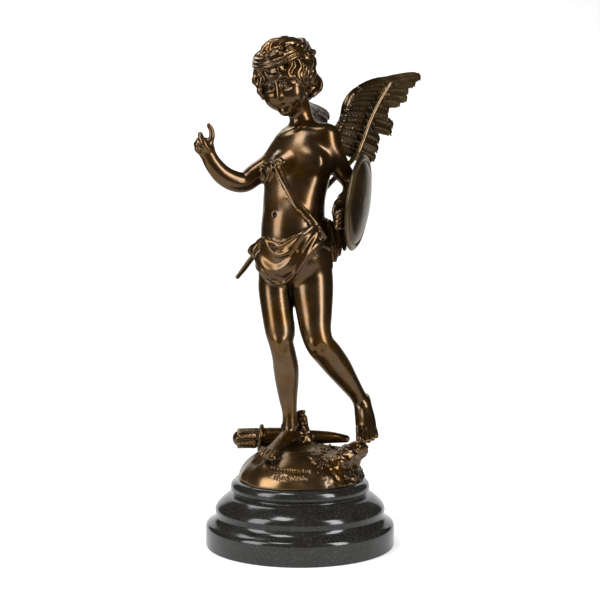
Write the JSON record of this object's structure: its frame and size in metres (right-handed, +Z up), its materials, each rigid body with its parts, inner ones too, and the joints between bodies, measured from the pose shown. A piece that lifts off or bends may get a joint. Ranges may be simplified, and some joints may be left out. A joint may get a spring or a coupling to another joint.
{
  "type": "cupid statue",
  "caption": "Bronze statue of a winged boy with a round shield, a bow and a hip cloth, stepping on a rocky mound on a turned marble plinth.",
  "frame": {"origin": "centre of the plinth's flat underside", "axes": "+Z up; the figure's front is towards -Y, turned a little towards -X, and the wings spread towards +Y and +X"},
  "size_m": [0.2334, 0.2521, 0.4985],
  "materials": {
    "bronze": "dark brown patinated cast bronze, waxed to a soft gloss, rubbed lighter on raised edges",
    "black_marble": "polished black marble with fine pale flecks"
  },
  "bodies": {
    "root": {"plinth": "black_marble", "figure": "bronze", "shield": "bronze", "bow": "bronze", "left_wing": "bronze", "right_wing": "bronze"}
  },
  "joints": []
}
